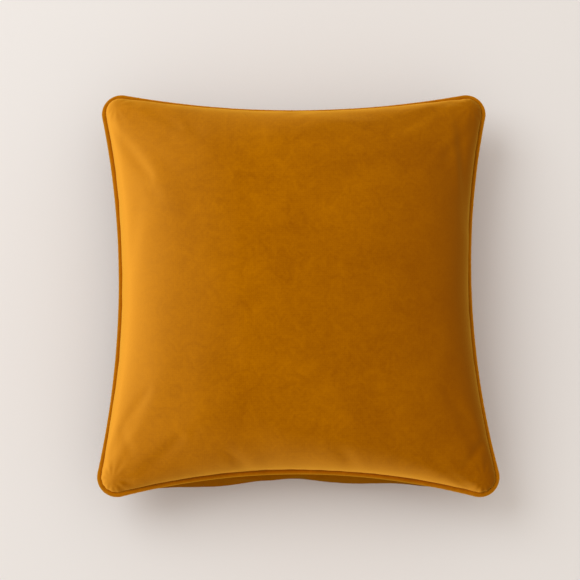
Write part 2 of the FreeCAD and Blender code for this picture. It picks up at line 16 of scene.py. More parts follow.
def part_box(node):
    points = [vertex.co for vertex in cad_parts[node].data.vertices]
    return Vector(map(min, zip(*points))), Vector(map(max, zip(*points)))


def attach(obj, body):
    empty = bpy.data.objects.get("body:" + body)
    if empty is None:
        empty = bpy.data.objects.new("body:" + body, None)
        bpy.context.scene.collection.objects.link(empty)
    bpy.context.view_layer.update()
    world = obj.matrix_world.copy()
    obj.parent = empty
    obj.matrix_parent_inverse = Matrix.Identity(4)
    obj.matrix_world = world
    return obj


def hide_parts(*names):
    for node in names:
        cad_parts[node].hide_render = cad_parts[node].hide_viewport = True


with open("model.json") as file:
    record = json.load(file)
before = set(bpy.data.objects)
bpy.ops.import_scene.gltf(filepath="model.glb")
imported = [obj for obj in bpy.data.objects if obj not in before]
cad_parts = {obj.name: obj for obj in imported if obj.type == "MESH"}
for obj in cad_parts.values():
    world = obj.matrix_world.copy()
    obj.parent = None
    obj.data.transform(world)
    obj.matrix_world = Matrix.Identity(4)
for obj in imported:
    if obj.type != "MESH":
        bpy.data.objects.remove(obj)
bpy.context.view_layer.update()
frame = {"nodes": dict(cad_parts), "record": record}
scene = bpy.context.scene
mm = 0.001

# %% [markdown]
# ## The seam line
# Front and back are sewn together along one flat closed line, with the corded edge caught
# between them. Four small corner arcs join four hollow side arcs, because a filled square draws
# in between its corners. Every soft piece is hung on this line, so it comes first.

# %% Seam sizes, read from the corded edge's own box
edge_low, edge_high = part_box("piping_sleeve")
piping_radius = (edge_high[2] - edge_low[2]) / 2
seam_z = (edge_high[2] + edge_low[2]) / 2
seam_height = edge_high[1] - edge_low[1] - 2 * piping_radius
seam_width = edge_high[0] - edge_low[0] - 2 * piping_radius
top_narrower = 4 * mm
top_lean = -5.5 * mm
corner_radius = 22 * mm
sags = {"bottom": 28 * mm, "right": 26 * mm, "top": 20 * mm, "left": 24 * mm}
bottom_span = seam_width - 3.5 * mm
top_span = bottom_span - top_narrower
zip_joint = next(j for j in frame["record"]["behaviour"]["joints"] if j["name"] == "slider_travel")
zip_axis = Vector(zip_joint["pos_m"])
print("seam", round(bottom_span, 4), "x", round(seam_height, 4), "at height", round(seam_z, 4))


# %% Corner centres and side arcs
def corner_centres():
    shift = zip_axis.x
    half = bottom_span / 2 - corner_radius
    half_top = top_span / 2 - corner_radius
    tall = seam_height / 2 - corner_radius
    return [
        Vector((shift - half, -tall)),
        Vector((shift + half, -tall)),
        Vector((shift + top_lean + half_top, tall)),
        Vector((shift + top_lean - half_top, tall)),
    ]


def hollow_arc(start, end, sag):
    chord = end - start
    outward = Vector((chord.y, -chord.x)).normalized()
    reach = (chord.length ** 2 / 4 + sag ** 2) / (2 * sag)
    centre = (start + end) / 2 + outward * (reach - sag)
    return centre, reach - corner_radius


centres = corner_centres()
side_names = ["bottom", "right", "top", "left"]
hollows = []
for number, name in enumerate(side_names):
    hollows.append(hollow_arc(centres[number], centres[(number + 1) % 4], sags[name]))
print("bottom arc radius", round(hollows[0][1], 4), "zip axis y", round(zip_axis.y, 4))


# %% A point anywhere along the seam
def angle_of(vector):
    return math.atan2(vector.y, vector.x)


def turned(start, end, positive):
    """The angle from start to end, going the given way round."""
    change = (end - start) % (2 * math.pi)
    return change if positive else change - 2 * math.pi


def side_pieces(side):
    """One side as three arcs: centre, radius, first angle, turn. Corner middle to corner middle."""
    start, end = centres[side], centres[(side + 1) % 4]
    centre, radius = hollows[side]
    before_centre = hollows[side - 1][0]
    after_centre = hollows[(side + 1) % 4][0]
    leave = angle_of(centre - start)
    arrive = angle_of(centre - end)
    first_turn = turned(angle_of(before_centre - start), leave, True) / 2
    last_turn = turned(arrive, angle_of(after_centre - end), True) / 2
    first = (start, corner_radius, leave - first_turn, first_turn)
    sweep = turned(angle_of(start - centre), angle_of(end - centre), False)
    middle = (centre, radius, angle_of(start - centre), sweep)
    last = (end, corner_radius, arrive, last_turn)
    return [first, middle, last]


pieces_of_side = [side_pieces(side) for side in range(4)]
side_lengths = [[abs(turn) * radius for _, radius, _, turn in pieces] for pieces in pieces_of_side]


def seam_point(side, share, inset=0.0):
    """A point a share of the way along one side, moved inwards, and the outward direction there."""
    left = share * sum(side_lengths[side])
    for number in range(3):
        length = side_lengths[side][number]
        if left <= length or number == 2:
            break
        left -= length
    centre, radius, first, turn = pieces_of_side[side][number]
    heading = first + turn * min(left / length, 1.0)
    ray = Vector((math.cos(heading), math.sin(heading)))
    if number == 1:
        return centre + ray * (radius + inset), -ray
    return centre + ray * (radius - inset), ray


def round_seam(distance, inset=0.0):
    """The seam point at a distance from the bottom left corner, going anticlockwise."""
    left = distance % seam_length
    for side in range(4):
        length = sum(side_lengths[side])
        if left <= length:
            break
        left -= length
    return seam_point(side, min(left / length, 1.0), inset)


seam_length = sum(sum(lengths) for lengths in side_lengths)
print("seam length", round(seam_length, 4))


# %% [markdown]
# ## The two velvet panels
# Each panel is a square of velvet that the filling pushes out. It starts as a grid laid over a
# crowned form whose edge is the seam line, finer towards the seam where cloth puckers. Along the
# zip the back's edge is turned in lower down, which leaves the slit that the zip opens. The back
# also swells past the corded edge there, in two soft lobes.

# %% Helpers for meshes
def new_piece(name, mesh_maker, body="cover"):
    """An object at the origin whose mesh a bmesh function fills. It rides on a body."""
    mesh = bpy.data.meshes.new(name)
    bm = bmesh.new()
    mesh_maker(bm)
    bm.to_mesh(mesh)
    bm.free()
    piece = bpy.data.objects.new(name, mesh)
    scene.collection.objects.link(piece)
    for polygon in mesh.polygons:
        polygon.use_smooth = True
    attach(piece, body)
    return piece


def smooth_step(low, high, value):
    share = min(max((value - low) / (high - low), 0.0), 1.0)
    return share * share * (3 - 2 * share)


def bump_at(value, centre, width):
    return math.exp(-(((value - centre) / width) ** 2))


corner_points = {}


def patch_corners(inset):
    if inset not in corner_points:
        corner_points[inset] = [seam_point(side, 0.0, inset)[0] for side in range(4)]
    return corner_points[inset]


def patch_point(s, t, inset, crown, swell):
    """The point of a crowned panel at grid place (s, t), each from -1 to 1."""
    turn_s, turn_t = math.pi * s / 2, math.pi * t / 2
    u, v = (1 + math.sin(turn_s)) / 2, (1 + math.sin(turn_t)) / 2
    low, _ = seam_point(0, u, inset)
    high, _ = seam_point(2, 1 - u, inset)
    left, _ = seam_point(3, 1 - v, inset)
    right, _ = seam_point(1, v, inset)
    corners = patch_corners(inset)
    ruled = low * (1 - v) + high * v + left * (1 - u) + right * u
    ruled -= (corners[0] * (1 - u) + corners[1] * u) * (1 - v)
    ruled -= (corners[3] * (1 - u) + corners[2] * u) * v
    rise = math.cos(turn_s) * math.cos(turn_t)
    ruled += Vector((math.sin(turn_s), math.sin(turn_t))) * (swell * rise)
    return Vector((ruled.x, ruled.y, crown * rise))


panel_inset = 2.6 * mm
front_start = seam_z + 1.0 * mm
back_start = seam_z - 1.0 * mm
cells = 120
slit_half = (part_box("zip_tape_upper")[1][0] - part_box("zip_tape_upper")[0][0]) / 2 + 1 * mm
slit_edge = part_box("zip_tape_lower")[0][2] - 0.4 * mm
print("zip slit", round(2 * slit_half, 4), "long, down to", round(slit_edge, 4))


# %% Lay out the grid of one panel
def front_shape(s, t, inset, crown, swell):
    place = patch_point(s, t, inset, crown, swell)
    return place + Vector((0, 0, front_start))


lobe_reach = 19 * mm
left_lobe_middle = -116 * mm
right_lobe_middle = 62 * mm


def lobe_share(along):
    """How far the back swells past the corded edge, at a distance along the zip."""
    lobes = 1.22 * bump_at(along, left_lobe_middle, 82 * mm)
    lobes += 0.72 * bump_at(along, right_lobe_middle, 62 * mm)
    lobes -= 0.16 * bump_at(along, -1 * mm, 26 * mm)
    fade_start = 186 * mm if along < 0 else 150 * mm
    return (0.44 + 0.66 * lobes) * (1 - smooth_step(fade_start, 220 * mm, abs(along)))


def back_shape(s, t, inset, crown, swell):
    """The back hangs from the seam, but from the slit's lower edge along the zip."""
    place = patch_point(s, t, inset, crown, swell)
    near_zip = (1 - (1 + math.sin(math.pi * t / 2)) / 2) ** 5
    open_share = 1 - smooth_step(slit_half - 3 * mm, slit_half + 2 * mm, abs(place.x - zip_axis.x))
    rise = place.z / crown
    lowered = (back_start - slit_edge) * near_zip * open_share * (1 - rise) ** 2
    reach = lobe_reach * lobe_share(place.x)
    push = reach * near_zip * bump_at(rise, 0.55, 0.26) * smooth_step(0.08, 0.4, rise)
    return place + Vector((0, -push, back_start - lowered))


def panel_mesh(shape, inset, crown, swell, count=cells):
    def fill(bm):
        bmesh.ops.create_grid(bm, x_segments=count, y_segments=count, size=1, calc_uvs=True)
        for vert in bm.verts:
            vert.co = shape(vert.co.x, vert.co.y, inset, crown, swell)
        if crown < 0:
            bmesh.ops.reverse_faces(bm, faces=bm.faces)
    return fill


front_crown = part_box("front_panel")[1][2] - front_start - 7 * mm
back_crown = -(back_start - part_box("back_panel")[0][2]) - 9 * mm
front_velvet = new_piece("front_velvet", panel_mesh(front_shape, panel_inset, front_crown, 27 * mm))
back_velvet = new_piece("back_velvet", panel_mesh(back_shape, panel_inset, back_crown, 58 * mm))
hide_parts("front_panel")
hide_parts("back_panel")
print("panel grids", len(front_velvet.data.vertices), len(back_velvet.data.vertices))


# %% [markdown]
# A panel's edge is held where it is sewn, and the filling pushes the cloth between. It could be
# modelled by hand, but cloth simulation with pressure finds the same swelling by itself. The
# cloth grows a little first, which gives it the spare length of a real cover. Towards the
# corners, where two seams hold the cloth tight, it stays close to the form it started from.

# %% Inflate a panel with cloth simulation
def hold_edge(piece):
    """A vertex group that pins the sewn edge."""
    group = piece.vertex_groups.new(name="sewn")
    bm = bmesh.new()
    bm.from_mesh(piece.data)
    edge = [vert.index for vert in bm.verts if vert.is_boundary]
    bm.free()
    group.add(edge, 1.0, "REPLACE")


calm_share = 0.92
calm_reach = 115 * mm


def corner_share(place, reach):
    """From 1 at a corner of the seam to 0 far from every corner."""
    nearest = min((place.xy - corner).length for corner in centres)
    return bump_at(nearest, 0.0, reach)


def inflate(pieces, pressure, growth, frames):
    """Runs the cloth of several panels together and applies it, calmer towards the corners."""
    forms = {}
    for piece in pieces:
        forms[piece.name] = [vert.co.copy() for vert in piece.data.vertices]
        hold_edge(piece)
        cloth = piece.modifiers.new("Inflate", "CLOTH")
        settings = cloth.settings
        settings.quality = 6
        settings.mass = 0.35
        settings.tension_stiffness = 30
        settings.compression_stiffness = 30
        settings.shear_stiffness = 8
        settings.bending_stiffness = 3.0
        settings.air_damping = 6
        settings.tension_damping = 15
        settings.compression_damping = 15
        settings.use_pressure = True
        settings.uniform_pressure_force = pressure
        settings.shrink_min = -growth
        settings.shrink_max = -growth
        settings.vertex_group_mass = "sewn"
        settings.effector_weights.gravity = 0
        cloth.collision_settings.use_collision = False
        cloth.collision_settings.use_self_collision = False
        cloth.point_cache.frame_start = 1
        cloth.point_cache.frame_end = frames
    for number in range(1, frames + 1):
        scene.frame_set(number)
    for piece in pieces:
        with bpy.context.temp_override(object=piece, active_object=piece):
            bpy.ops.object.modifier_apply(modifier="Inflate")
        for vert, form in zip(piece.data.vertices, forms[piece.name]):
            vert.co = vert.co.lerp(form, calm_share * corner_share(form, calm_reach))
        high = max(vert.co.z for vert in piece.data.vertices)
        low = min(vert.co.z for vert in piece.data.vertices)
        print(piece.name, "inflated, z", round(low, 4), "to", round(high, 4))


inflate([front_velvet, back_velvet], pressure=6.0, growth=0.003, frames=24)


# %% [markdown]
# Simulation gives the large shape. The small signs of sewing and handling come next, as moves
# along the cloth's own normals: gathers where the edge is eased into the seam, short folds that
# run out of each corner, a few creases, and a slow unevenness from the filling.

# %% Gathers, corner folds, creases and unevenness
gather_height = 0.3 * mm
gather_reach = 11 * mm
fold_reach = 17 * mm
filling_unevenness = 1.2 * mm
handling_unevenness = 0.3 * mm
# Each corner: where its folds start, their height and their phase.
corner_folds = [
    (Vector((-0.226, -0.236)), 0.7 * mm, 0.4),
    (Vector((0.228, -0.236)), 0.8 * mm, 1.9),
    (Vector((0.222, 0.238)), 0.7 * mm, 3.1),
    (Vector((-0.231, 0.238)), 0.4 * mm, 4.6),
]
# Each crease: start, end, width and height, negative for a hollow.
creases = [
    (Vector((0.205, 0.205)), Vector((0.212, 0.075)), 8 * mm, -1.5 * mm),
    (Vector((0.196, 0.21)), Vector((0.203, 0.12)), 6 * mm, 1.2 * mm),
    (Vector((0.232, -0.185)), Vector((0.205, -0.222)), 5 * mm, -1.8 * mm),
    (Vector((-0.200, -0.21)), Vector((-0.215, -0.175)), 6 * mm, -0.6 * mm),
    (Vector((-0.06, -0.225)), Vector((-0.085, -0.205)), 7 * mm, -0.9 * mm),
    (Vector((0.07, -0.222)), Vector((0.052, -0.203)), 7 * mm, -0.9 * mm),
    (Vector((-0.205, 0.02)), Vector((-0.198, 0.10)), 9 * mm, -0.9 * mm),
    (Vector((0.02, 0.222)), Vector((0.11, 0.216)), 7 * mm, -0.8 * mm),
]


def crease_height(place, start, end, width, depth):
    span = end - start
    share = min(max((place - start).dot(span) / span.length_squared, 0.0), 1.0)
    away = (place - start - span * share).length
    fade = math.sin(math.pi * (0.15 + 0.7 * share))
    return depth * fade * bump_at(away, 0.0, width)


def seam_distance(place):
    """Roughly how far inside the seam a point is, and how far along it."""
    half_wide = seam_width / 2 - 0.6 * sags["left"]
    half_tall = seam_height / 2 - 0.6 * sags["bottom"]
    across, up = half_wide - abs(place.x), half_tall - abs(place.y)
    return (across, place.y) if across < up else (up, place.x)


def worked_height(place, normal, seed):
    """How far the cloth stands out of its smooth form at a point."""
    flat = place.xy
    away, along = seam_distance(flat)
    away = max(away, 0.0)
    gather = noise.noise(Vector((along * 70, seed, flat.x * 4)))
    gather += 0.5 * noise.noise(Vector((along * 150, seed, 7)))
    height = gather_height * gather * math.exp(-away / gather_reach)
    for centre, size, phase in corner_folds:
        arm = flat - centre
        reach = arm.length
        folds = math.sin(11 * math.atan2(arm.y, arm.x) + phase + 9 * reach)
        height += size * folds * math.exp(-reach / fold_reach) * smooth_step(2 * mm, 14 * mm, reach)
    if normal.z > 0.1:
        for crease in creases:
            height += crease_height(flat, *crease)
    slow = noise.noise(Vector((flat.x * 9, flat.y * 9, seed)))
    finer = noise.noise(Vector((flat.x * 26, flat.y * 22, seed + 3)))
    return height + filling_unevenness * slow + handling_unevenness * finer


def work_cloth(piece, seed):
    normals = [vert.normal.copy() for vert in piece.data.vertices]
    held = set()
    bm = bmesh.new()
    bm.from_mesh(piece.data)
    held.update(vert.index for vert in bm.verts if vert.is_boundary)
    bm.free()
    for vert, normal in zip(piece.data.vertices, normals):
        if vert.index not in held:
            vert.co += normal * worked_height(vert.co, normal, seed)


work_cloth(front_velvet, seed=2.0)
work_cloth(back_velvet, seed=9.0)
print("folded", len(corner_folds), "corners and", len(creases), "creases")


# %% [markdown]
# The zip lies just under the corded edge, and its tab swings flat along it. On a real cover the
# cloth is sewn behind the zip, so the swollen back can't cover it. The points beside the tab's
# path are moved inwards by what they lack, which keeps the swelling below as it is.

# %% Leave room for the pull tab
def clear_pull_path(piece, room=2.4 * mm):
    """Draws the cloth in behind the path of the tab, which passes just under the corded edge."""
    low, high = (corner[2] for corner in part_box("zip_pull"))
    axis = zip_axis.xy
    seam_reach = (seam_point(0, 0.5)[0] - axis).length
    for vert in piece.data.vertices:
        band = smooth_step(low - 9 * mm, low - 1 * mm, vert.co.z)
        band *= 1 - smooth_step(high + 1 * mm, high + 4 * mm, vert.co.z)
        band *= 1 - smooth_step(slit_half + 30 * mm, slit_half + 50 * mm, abs(vert.co.x - axis.x))
        arm = vert.co.xy - axis
        short = max(seam_reach + room - arm.length, 0.0) * band
        vert.co += (arm * (short / arm.length)).to_3d()
    print(piece.name, "stands clear of the tab between heights", round(low, 4), "and", round(high, 4))


clear_pull_path(back_velvet)


# %% [markdown]
# A filled cushion rests on a soft flat patch of its back, with no sharp edge round it. Points
# below a small height are squeezed towards the floor, more the lower they were, which gives the
# patch and its rounded rim at once. One level of subdivision then smooths both panels.

# %% Flatten the back where it rests
def rest_on_floor(piece, rest=0.6 * mm, soft=4 * mm):
    """Presses everything near the floor onto it, easing in above it."""
    for vert in piece.data.vertices:
        height = vert.co.z - rest
        if height < soft:
            vert.co.z = rest + soft * math.exp((height - soft) / soft)


rest_on_floor(back_velvet)


def refine(piece, levels=1):
    finer = piece.modifiers.new("Finer", "SUBSURF")
    finer.levels = levels
    finer.render_levels = levels


refine(front_velvet)
refine(back_velvet)
resting = sum(vert.co.z < 2 * mm for vert in back_velvet.data.vertices)
print("points resting on the floor", resting, "of", len(back_velvet.data.vertices))

# %% [markdown]
# ## The insert
# Inside lies a smaller plain cushion: a cotton case round loose fibre. It is seen only when the
# zip is open, but it is what fills the cover, so it is made as two case panels and a lumpy body
# of fibre.

# %% Insert case and fibre
case_inset = 26 * mm
case_front = new_piece("insert_case_front", panel_mesh(front_shape, case_inset, 66 * mm, 6 * mm, 48))
case_back = new_piece("insert_case_back", panel_mesh(back_shape, case_inset, -60 * mm, 12 * mm, 48))
for vert in case_back.data.vertices:
    vert.co.y = max(vert.co.y, -seam_height / 2 + 24 * mm)
rest_on_floor(case_back, rest=4 * mm)
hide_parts("insert_front")
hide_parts("insert_back")


def fibre_mesh(bm):
    """Front and back of the fibre, joined at the edge and made uneven."""
    for crown, swell, start in ((60 * mm, 4 * mm, 1 * mm), (-54 * mm, 8 * mm, -1 * mm)):
        part = bmesh.new()
        bmesh.ops.create_grid(part, x_segments=56, y_segments=56, size=1)
        for vert in part.verts:
            place = patch_point(vert.co.x, vert.co.y, 31 * mm, crown, swell)
            lump = noise.noise(place * 45) + 0.5 * noise.noise(place * 110)
            edge = abs(place.z / crown)
            vert.co = place + Vector((0, 0, seam_z + start * edge + 2.2 * mm * lump * edge))
        if crown < 0:
            bmesh.ops.reverse_faces(part, faces=part.faces)
        scratch = bpy.data.meshes.new("half")
        part.to_mesh(scratch)
        part.free()
        bm.from_mesh(scratch)
        bpy.data.meshes.remove(scratch)
    bmesh.ops.remove_doubles(bm, verts=bm.verts, dist=0.05 * mm)


fibre_body = new_piece("insert_fibre", fibre_mesh)
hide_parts("insert_filling")
for piece in (case_front, case_back, fibre_body):
    refine(piece)
print("insert faces", [len(piece.data.polygons) for piece in (case_front, case_back, fibre_body)])

# %% [markdown]
# ## The corded edge
# A bias strip of the same velvet is wrapped round a twisted cotton cord and caught in the seam.
# Each is a tube along the seam line, made from a grid so that its map runs along the strip and
# round it.

# %% Piping and cord
def tube_mesh(radius, along_count, round_count, shape):
    """A closed tube along the seam. Shape gives a radius factor from distance and angle."""
    def fill(bm):
        bmesh.ops.create_grid(bm, x_segments=along_count, y_segments=round_count, size=0.5, calc_uvs=True)
        for vert in bm.verts:
            distance = (vert.co.x + 0.5) * seam_length
            turn = (vert.co.y + 0.5) * 2 * math.pi
            centre, outward = round_seam(distance)
            size = radius * shape(distance, turn)
            level = centre + outward * (size * math.cos(turn))
            vert.co = Vector((level.x, level.y, seam_z + size * math.sin(turn)))
        bmesh.ops.remove_doubles(bm, verts=bm.verts, dist=0.01 * mm)
        bmesh.ops.recalc_face_normals(bm, faces=bm.faces)
    return fill


piping_radius_seen = 0.8 * piping_radius
rib_count = round(seam_length / (9 * mm))
ply_count = round(seam_length / (14 * mm))


def looped_noise(distance, scale, seed):
    """Noise round the seam that meets itself where the strip is joined."""
    turn = 2 * math.pi * distance / seam_length
    reach = scale * seam_length / (2 * math.pi)
    return noise.noise(Vector((math.cos(turn) * reach, math.sin(turn) * reach, seed)))


def piping_shape(distance, turn):
    """A cord seen through cloth: slow swellings, faint slanting ribs of the twisted cord."""
    rib = math.sin(2 * math.pi * rib_count * distance / seam_length + 2 * turn)
    lump = looped_noise(distance, 25, 3.0) + 0.6 * looped_noise(distance, 90, 5.0)
    return 0.985 + 0.03 * lump + 0.012 * rib


def cord_shape(distance, turn):
    """Three plies twisted together."""
    ply = abs(math.cos(1.5 * turn + math.pi * ply_count * distance / seam_length))
    return 0.86 + 0.1 * ply


piping = new_piece("piping", tube_mesh(piping_radius_seen, 1300, 14, piping_shape))
cord = new_piece("twisted_cord", tube_mesh(piping_radius_seen - 0.8 * mm, 1300, 12, cord_shape))
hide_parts("piping_sleeve")
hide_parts("piping_cord")
print("piping faces", len(piping.data.polygons))

# %% [markdown]
# ## The zip
# The coils are flattened spirals of nylon along the slit. The slider and its pull are castings,
# so copies of them get rounded edges. The tapes keep their CAD shape.

# %% Coil loops
axis_place = Vector((zip_axis.x, zip_axis.y))
coil_pitch = 1.5 * mm


def coil_mesh(node):
    """A flat spiral in the space that the CAD coil holds."""
    low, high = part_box(node)
    middle = seam_point(0, 0.5)[0]
    reach = (middle - axis_place).length
    half_angle = math.asin((high[0] - low[0]) / 2 / reach)
    wire = 0.22 * mm
    inset = 3.9 * mm
    deep = 0.7 * mm - wire
    wide = (high[2] - low[2]) / 2 - wire
    centre_z = (high[2] + low[2]) / 2
    turns = round(2 * half_angle * reach / coil_pitch)

    def fill(bm):
        bmesh.ops.create_grid(bm, x_segments=turns * 8, y_segments=4, size=0.5)
        for vert in bm.verts:
            share = vert.co.x + 0.5
            spin = 2 * math.pi * turns * share
            side = 2 * math.pi * (vert.co.y + 0.5)
            heading = math.pi / 2 - half_angle + 2 * half_angle * share
            out_from_loop = Vector((math.cos(spin), math.sin(spin)))
            depth = (deep + wire * math.cos(side)) * out_from_loop.x
            height = (wide + wire * math.cos(side)) * out_from_loop.y
            ray = Vector((math.cos(heading), math.sin(heading)))
            across = Vector((-ray.y, ray.x)) * (wire * math.sin(side))
            level = axis_place + ray * (reach + inset + depth) + across
            vert.co = Vector((level.x, level.y, centre_z + height))
        bmesh.ops.remove_doubles(bm, verts=bm.verts, dist=0.005 * mm)
        bmesh.ops.recalc_face_normals(bm, faces=bm.faces)
    return fill


coils = []
for side in ("upper", "lower"):
    coil = new_piece("coil_loops_" + side, coil_mesh("zip_coil_" + side))
    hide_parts("zip_coil_" + side)
    coils.append(coil)
print("coil faces", [len(coil.data.polygons) for coil in coils])


# %% Rounded castings
def rounded_copy(node, name, body, width):
    """A copy of a CAD node with merged corners and rounded edges."""
    piece = frame["nodes"][node].copy()
    piece.data = frame["nodes"][node].data.copy()
    piece.name = name
    piece.data.name = name
    piece.parent = None
    scene.collection.objects.link(piece)
    bm = bmesh.new()
    bm.from_mesh(piece.data)
    bmesh.ops.remove_doubles(bm, verts=bm.verts, dist=0.002 * mm)
    bmesh.ops.dissolve_limit(bm, angle_limit=math.radians(4), verts=bm.verts, edges=bm.edges)
    bm.to_mesh(piece.data)
    bm.free()
    piece.data.materials.clear()
    edges = piece.modifiers.new("Rounded", "BEVEL")
    edges.width = width
    edges.segments = 2
    edges.limit_method = "ANGLE"
    edges.harden_normals = True
    for polygon in piece.data.polygons:
        polygon.use_smooth = True
    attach(piece, body)
    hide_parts(node)
    return piece


slider_casting = rounded_copy("zip_slider", "slider_casting", "slider", 0.28 * mm)
pull_casting = rounded_copy("zip_pull", "pull_tab", "pull", 0.25 * mm)
print("casting faces", len(slider_casting.data.polygons), len(pull_casting.data.polygons))

# %% [markdown]
# ## Velvet
# Velvet is a dense short pile on a woven ground. Seen square on it is deep and matt, and its
# fibres catch light at a grazing angle, which the sheen lobe stands for. On top of that, light and
# shade are painted into the colour by the way a surface faces: faces turned to the left and steep
# rims get a painted highlight, and faces turned to the right get painted shade. Strokes of a hand
# turn the pile and leave patches, and rows of the ground weave show faintly. All this is one group
# with four colours as inputs, because the panels and the bias strip share it.

# %% Small helpers for node trees
def socket(group, name, in_out, kind, default=None):
    made = group.interface.new_socket(name=name, in_out=in_out, socket_type=kind)
    if default is not None:
        made.default_value = default
    return made


def link(tree, start, end):
    tree.links.new(start, end)


def maths(tree, operation, *values):
    """A Math node. Each value is a number or a socket."""
    node = tree.nodes.new("ShaderNodeMath")
    node.operation = operation
    for slot, value in zip(node.inputs, values):
        if isinstance(value, (int, float)):
            slot.default_value = value
        else:
            link(tree, value, slot)
    return node.outputs[0]


def noise_field(tree, place, scale, detail=2.0, distortion=0.0):
    node = tree.nodes.new("ShaderNodeTexNoise")
    node.inputs["Detail"].default_value = detail
    node.inputs["Distortion"].default_value = distortion
    link(tree, place, node.inputs["Vector"])
    if isinstance(scale, (int, float)):
        node.inputs["Scale"].default_value = scale
    else:
        link(tree, scale, node.inputs["Scale"])
    return node.outputs["Fac"]


def ribs(tree, place, direction, per_metre, distortion):
    node = tree.nodes.new("ShaderNodeTexWave")
    node.bands_direction = direction
    node.inputs["Scale"].default_value = per_metre / 3.183
    node.inputs["Distortion"].default_value = distortion
    node.inputs["Detail"].default_value = 1.0
    node.inputs["Detail Scale"].default_value = 1.5
    link(tree, place, node.inputs["Vector"])
    return node.outputs["Fac"]


def bumped(tree, height, strength, distance):
    node = tree.nodes.new("ShaderNodeBump")
    node.inputs["Strength"].default_value = strength
    node.inputs["Distance"].default_value = distance
    link(tree, height, node.inputs["Height"])
    return node.outputs["Normal"]


def mixed(tree, factor, first, second):
    node = tree.nodes.new("ShaderNodeMix")
    node.data_type = "RGBA"
    for name, value in ((0, factor), (6, first), (7, second)):
        if isinstance(value, (tuple, float)):
            node.inputs[name].default_value = value
        else:
            link(tree, value, node.inputs[name])
    return node.outputs[2]


def facing_mask(tree, facing, direction, gain, offset):
    """A mask from 0 to 1 of how far a surface faces a direction."""
    node = tree.nodes.new("ShaderNodeVectorMath")
    node.operation = "DOT_PRODUCT"
    node.inputs[1].default_value = direction
    link(tree, facing, node.inputs[0])
    mask = maths(tree, "MULTIPLY_ADD", node.outputs["Value"], gain, offset)
    mask.node.use_clamp = True
    return mask


# %% Pile group with painted light, shared by every velvet piece
def pile_group():
    group = bpy.data.node_groups.new("velvet pile and painted light", "ShaderNodeTree")
    socket(group, "Deep", "INPUT", "NodeSocketColor")
    socket(group, "Pale", "INPUT", "NodeSocketColor")
    socket(group, "Left Rim Painted Light", "INPUT", "NodeSocketColor")
    socket(group, "Right Painted Light", "INPUT", "NodeSocketColor")
    socket(group, "Stroke Scale", "INPUT", "NodeSocketFloat", 11.0)
    socket(group, "Color", "OUTPUT", "NodeSocketColor")
    socket(group, "Roughness", "OUTPUT", "NodeSocketFloat")
    socket(group, "Normal", "OUTPUT", "NodeSocketVector")
    source = group.nodes.new("NodeGroupInput")
    out = group.nodes.new("NodeGroupOutput")
    place = group.nodes.new("ShaderNodeTexCoord").outputs["Object"]
    strokes = noise_field(group, place, source.outputs["Stroke Scale"], 3.0, 0.8)
    finger = noise_field(group, place, 52.0, 3.0, 1.6)
    mottle = noise_field(group, place, 300.0, 4.0)
    down = ribs(group, place, "X", 420.0, 1.2)
    across = ribs(group, place, "Y", 380.0, 1.2)
    weave = maths(group, "MULTIPLY_ADD", maths(group, "ADD", down, across), 0.1, -0.1)
    large = maths(group, "MULTIPLY_ADD", strokes, 1.2, -0.3)
    with_finger = maths(group, "MULTIPLY_ADD", finger, 1.0, large)
    with_mottle = maths(group, "MULTIPLY_ADD", mottle, 0.8, with_finger)
    mask = maths(group, "SUBTRACT", maths(group, "ADD", with_mottle, weave), 0.73)
    mask.node.use_clamp = True
    pile = mixed(group, mask, source.outputs["Deep"], source.outputs["Pale"])
    # Painted light: a surface turned to the left or steep at a rim is mixed towards one colour, and one
    # turned to the right towards another, standing in for highlight, sheen and shade.
    facing = group.nodes.new("ShaderNodeTexCoord").outputs["Normal"]
    split = group.nodes.new("ShaderNodeSeparateXYZ")
    link(group, facing, split.inputs[0])
    level = maths(group, "ABSOLUTE", split.outputs["Z"])
    to_left = maths(group, "MULTIPLY_ADD", split.outputs["X"], -0.97, 0.955)
    left_rim_painted_light = maths(group, "MULTIPLY_ADD", level, -1.05, to_left)
    left_rim_painted_light.node.use_clamp = True
    right_painted_light = facing_mask(group, facing, (0.86, -0.05, 0.0), 1.6, 0.06)
    pile_and_left_rim_painted_light = mixed(group, left_rim_painted_light, pile, source.outputs["Left Rim Painted Light"])
    pile_and_painted_light = mixed(group, right_painted_light, pile_and_left_rim_painted_light, source.outputs["Right Painted Light"])
    link(group, pile_and_painted_light, out.inputs["Color"])
    rough = maths(group, "MULTIPLY_ADD", strokes, 0.2, 0.72)
    link(group, rough, out.inputs["Roughness"])
    fibre = noise_field(group, place, 1900.0, 2.0)
    height = maths(group, "MULTIPLY_ADD", weave, 1.5, maths(group, "ADD", fibre, finger))
    link(group, bumped(group, height, 0.4, 0.0004), out.inputs["Normal"])
    return group


pile_and_painted_light_group = pile_group()
print("pile group nodes", len(pile_and_painted_light_group.nodes))


# %% Velvet material
def new_material(name):
    material = bpy.data.materials.new(name)
    material.use_nodes = True
    return material, material.node_tree, material.node_tree.nodes["Principled BSDF"]


def velvet_material(name, deep, pale, left_rim_painted_light, right_painted_light, sheen):
    material, tree, shader = new_material(name)
    pile = tree.nodes.new("ShaderNodeGroup")
    pile.node_tree = pile_and_painted_light_group
    pile.inputs["Deep"].default_value = (*deep, 1)
    pile.inputs["Pale"].default_value = (*pale, 1)
    pile.inputs["Left Rim Painted Light"].default_value = (*left_rim_painted_light, 1)
    pile.inputs["Right Painted Light"].default_value = (*right_painted_light, 1)
    for name in ("Color", "Roughness", "Normal"):
        link(tree, pile.outputs[name], shader.inputs["Base Color" if name == "Color" else name])
    shader.inputs["Specular IOR Level"].default_value = 0.0
    shader.inputs["Sheen Weight"].default_value = sheen
    shader.inputs["Sheen Roughness"].default_value = 0.5
    shader.inputs["Sheen Tint"].default_value = (1.0, 0.62, 0.06, 1)
    return material
